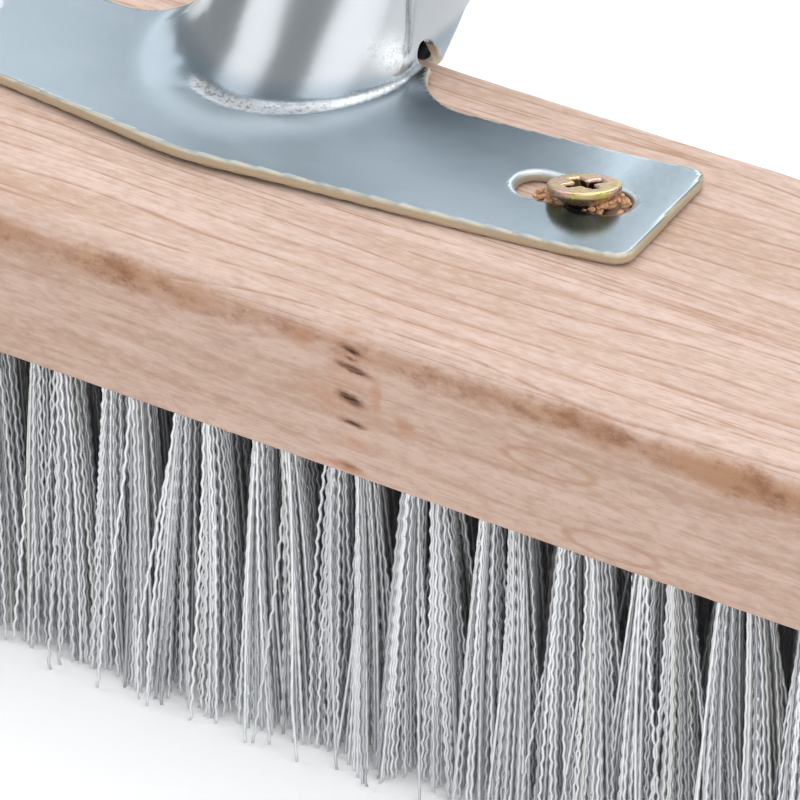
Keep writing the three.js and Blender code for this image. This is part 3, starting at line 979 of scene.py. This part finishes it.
def wood_stain(s, tone, stained):
    """Brown stain in blots and specks on the worn front edge; returns the colour and the specks."""
    edge = s.mask("edge_front")
    patch = s.noise(s.stretched((36, 60, 60), shift=(0.55, 0, 0)), detail=6, rough=0.68)
    blot = s.noise(s.stretched((95, 170, 170), shift=(0.3, 0, 0)), detail=6, rough=0.7)
    speck = s.noise(s.stretched((330, 600, 600)), detail=5, rough=0.7)
    worn = s.math("MULTIPLY_ADD", s.math("SUBTRACT", patch, 0.5), 1.1, edge)
    worn = s.math("MULTIPLY_ADD", s.math("SUBTRACT", speck, 0.5), 0.5, worn)
    for spot, reach in stained:
        worn = s.math("MULTIPLY_ADD", s.near(spot, reach), 0.22, worn)
    worn = s.math("MULTIPLY", s.remap(worn, 0.60, 1.30), s.remap(edge, 0.05, 0.5))
    tone = s.mix(s.math("MULTIPLY", worn, 0.85), tone, (0.44, 0.235, 0.13))
    tone = s.mix(s.math("MULTIPLY", worn, s.remap(blot, 0.46, 0.64, 0.0, 0.75)), tone, (0.27, 0.115, 0.06))
    tone = s.mix(s.math("MULTIPLY", worn, s.remap(speck, 0.49, 0.66, 0.0, 0.5)), tone, (0.20, 0.10, 0.055))
    return tone, speck


def wood_knots(s, tone, flushes, knots):
    """Reddish flushes, and knots split open at the core; returns the colour and the depth of the splits."""
    stain = s.noise(s.stretched((170, 300, 420)), detail=4)
    for spot, reach, tilt, strength in flushes:
        mark = s.near(spot, reach, tilt, wobble=0.0015)
        share = s.math("MULTIPLY", mark, s.remap(stain, 0.36, 0.58, 0.3, strength))
        tone = s.mix(share, tone, (0.50, 0.235, 0.13))
    split = 0.0
    for spot, reach, tilt, strength in knots:
        mark = s.near(spot, reach, tilt, wobble=0.0009)
        split = s.math("MAXIMUM", split, s.math("MULTIPLY", mark, strength))
    tone = s.mix(s.math("MULTIPLY", s.remap(split, 0.0, 0.6), 0.6), tone, (0.30, 0.125, 0.065))
    hair = s.noise(s.stretched((330, 1500, 2600)), detail=3, rough=0.6)
    core = s.math("MULTIPLY", s.remap(split, 0.42, 0.9), s.remap(hair, 0.34, 0.60, 0.5, 1.0))
    tone = s.mix(s.math("MULTIPLY", core, 0.96), tone, (0.035, 0.017, 0.012))
    return tone, split


def beech(knots, flushes, loops, stained):
    """Raw block wood, with painted shade making its front face a little darker than its top, marked at the
    given spots of the row frame.
    """
    s = Shader("beech_wood").set(Roughness=0.78, Specular_IOR_Level=0.3)
    tone, fibre = wood_grain(s, loops)
    tone, speck = wood_stain(s, tone, stained)
    tone, split = wood_knots(s, tone, flushes, knots)
    # painted shade: the front face is multiplied darker than the top
    side = s.math("MULTIPLY", s.mask("front_face"), 0.75)
    s.drive("Base Color", s.mix(side, tone, (0.83, 0.78, 0.74), blend="MULTIPLY"))
    height = s.math("ADD", s.math("MULTIPLY", fibre, 0.5), s.math("MULTIPLY", speck, 0.25))
    s.relief(s.math("SUBTRACT", height, split), 0.0002, 0.45)
    return s.material


def yellow_zinc():
    """Yellow-passivated zinc: gold with pink and green patches, with painted shade in the cross recess."""
    s = Shader("yellow_zinc").set(Metallic=1.0)
    hue = s.noise(s.stretched((260, 260, 260)), detail=2, distortion=0.6)
    scratch = s.noise(s.stretched((2500, 700, 2500)), detail=2)
    tone = s.mix(s.remap(hue, 0.38, 0.5), (0.60, 0.51, 0.19), (0.72, 0.51, 0.29))
    tone = s.mix(s.remap(hue, 0.52, 0.62), tone, (0.72, 0.47, 0.41))
    # painted shade in the cross recess
    tone = s.mix(s.math("MULTIPLY", s.mask("recess"), 0.95), tone, (0.05, 0.03, 0.015))
    s.drive("Base Color", tone)
    s.drive("Roughness", s.remap(scratch, 0.3, 0.7, 0.22, 0.38))
    s.relief(scratch, 0.00005, 0.4)
    return s.material


def broken_wood():
    """Fresh orange-brown wood fibre."""
    s = Shader("broken_wood").set(Roughness=0.8)
    fibre = s.noise(s.stretched((1500, 2600, 2600)), detail=4, rough=0.7)
    s.drive("Base Color", s.mix(s.remap(fibre, 0.35, 0.65), (0.42, 0.20, 0.09), (0.80, 0.48, 0.28)))
    s.relief(fibre, 0.0002, 0.7)
    return s.material


def wire_tones():
    """Bright, grey, dull and warm copies of one steel, one of them on each wire at random: partly random
    tone, partly painted light and shade standing for lit and shaded wires.
    """
    # the bright copy is partly painted light, the darker copies partly painted shade
    tones = {
        "wire_bright": ((0.90, 0.905, 0.92), 0.40),
        "wire_grey": ((0.76, 0.765, 0.78), 0.44),
        "wire_dull_shaded": ((0.55, 0.55, 0.57), 0.48),
        "wire_warm": ((0.74, 0.73, 0.70), 0.45),
    }
    made = []
    for name, (colour, roughness) in tones.items():
        shader = Shader(name).set(Base_Color=(*colour, 1), Metallic=0.55, Roughness=roughness)
        made.append(shader.material)
    return made


# ---------------- stage, light and camera

def aim(obj, target):
    """Turns a lamp or camera to face a point."""
    obj.rotation_euler = (Vector(target) - obj.location).to_track_quat("-Z", "Y").to_euler()


def direction(azimuth, elevation):
    """Towards the eye from the head, in degrees to the right of its front and up."""
    azimuth, elevation = math.radians(azimuth), math.radians(elevation)
    return Vector((
        math.sin(azimuth) * math.cos(elevation),
        -math.cos(azimuth) * math.cos(elevation),
        math.sin(elevation),
    ))


def build_camera():
    target = MIDDLE + Vector((26.5, 0, WOOD_BOTTOM - 10.1)) * MM
    data = bpy.data.cameras.new("photo_camera")
    data.lens = 297.4
    data.clip_end = 50
    camera = bpy.data.objects.new("photo_camera", data)
    camera.location = target + direction(31.45, 34) * 0.8257
    bpy.context.scene.collection.objects.link(camera)
    aim(camera, target)
    bpy.context.scene.camera = camera


def area_light(name, azimuth, elevation, distance, size, power):
    """A soft rectangular lamp that faces the middle of the bracket's plate."""
    target = (0, 0, 0.07)
    data = bpy.data.lights.new(name, "AREA")
    data.shape = "RECTANGLE"
    data.size, data.size_y = size
    data.energy = power
    lamp = bpy.data.objects.new(name, data)
    lamp.location = Vector(target) + direction(azimuth, elevation) * distance
    bpy.context.scene.collection.objects.link(lamp)
    aim(lamp, target)


def build_floor():
    size = 3.0
    corners = [(-size, -size, 0), (size, -size, 0), (size, size, 0), (-size, size, 0)]
    mesh = bpy.data.meshes.new("floor")
    mesh.from_pydata(corners, [], [(0, 1, 2, 3)])
    floor = bpy.data.objects.new("floor", mesh)
    floor.location.z = -0.0002
    s = Shader("pale_floor").set(Roughness=0.9, Base_Color=(0.97, 0.97, 0.97, 1), Emission_Strength=0.13)
    mesh.materials.append(s.material)
    bpy.context.scene.collection.objects.link(floor)


def build_light():
    world = bpy.data.worlds.new("studio")
    world.use_nodes = True
    world.node_tree.nodes["Background"].inputs["Color"].default_value = (0.91, 0.97, 1, 1)
    world.node_tree.nodes["Background"].inputs["Strength"].default_value = 0.6
    bpy.context.scene.world = world
    bpy.context.scene.view_settings.view_transform = "Standard"
    area_light("soft_left", -59, 46, 1.4, (0.62, 1.0), 3.1)
    area_light("soft_right", 61, 45, 1.4, (0.9, 0.95), 4.4)
    area_light("soft_right_low", 98, 15, 1.4, (0.85, 0.85), 2.4)
    area_light("soft_camera", 26, 28, 1.5, (1.1, 0.8), 3.2)
    area_light("soft_top", 180, 76, 1.4, (1, 1), 6.4)
    area_light("soft_back_left", 227, 32, 1.5, (0.5, 0.9), 2.8)
    area_light("soft_back_right", 198.5, 32, 1.5, (0.45, 0.9), 4.2)


# ---------------- the head

def front_spots(marks):
    """Marks of the front face in the row frame, from (along, up, half length, half height, ...)."""
    return [
        (to_row((x, -WIDTH / 2, WOOD_BOTTOM + up)), (half_long * MM, 3 * MM, half_high * MM), *rest)
        for x, up, half_long, half_high, *rest in marks
    ]


knots = front_spots([
    (37.9, 18.1, 3.0, 0.8, 9, 0.85), (38.2, 15.6, 4.4, 0.85, 8, 1.0), (37.9, 11.3, 3.5, 1.35, 13, 0.95),
    (38.3, 7.9, 3.4, 0.75, 4, 0.8), (37.6, 1.6, 3.0, 0.8, 6, 0.6), (37.9, 16.9, 1.6, 0.6, 5, 0.7),
])
flushes = front_spots([
    (30.5, 17.5, 3.0, 1.9, 0, 0.75), (34.0, 10.6, 4.5, 2.6, 8, 0.7), (45.3, 9.8, 2.3, 1.7, 0, 0.7),
    (41.5, 13.0, 1.3, 4.5, 0, 0.55), (37.0, 20.3, 3.0, 1.4, 0, 0.7), (36.5, 1.3, 5.5, 0.9, 5, 0.8),
    (39.0, 5.4, 3.5, 1.6, 5, 0.5), (37.6, 15.0, 4.5, 4.5, 0, 0.35),
])
loops = front_spots([(65.3, 11.5, 6, 1.6), (74, 2.8, 6.3, 1.5)])
stained = [
    (to_row((x, -WIDTH / 2, WOOD_TOP - 2)), (half_long * MM, 12 * MM, 12 * MM))
    for x, half_long in ((2, 44), (91, 16))
]
build_block([beech(knots, flushes, loops, stained)])
build_bracket([zinc_sheet()])
screws = [yellow_zinc()]
build_screw("screw_steel_right", "screw_right", RIGHT_SCREW, 58, 16, 0.0, screws)
build_screw("screw_steel_left", "screw_left", LEFT_SCREW, 71, 0, 0.0, screws)
build_crumbs([broken_wood()])
tones = wire_tones()
for row in range(ROWS):
    for number, tufts in enumerate(clumps_of(tuft_row(row))):
        build_clump(row, number, tufts, tones)

build_floor()
build_light()
build_camera()
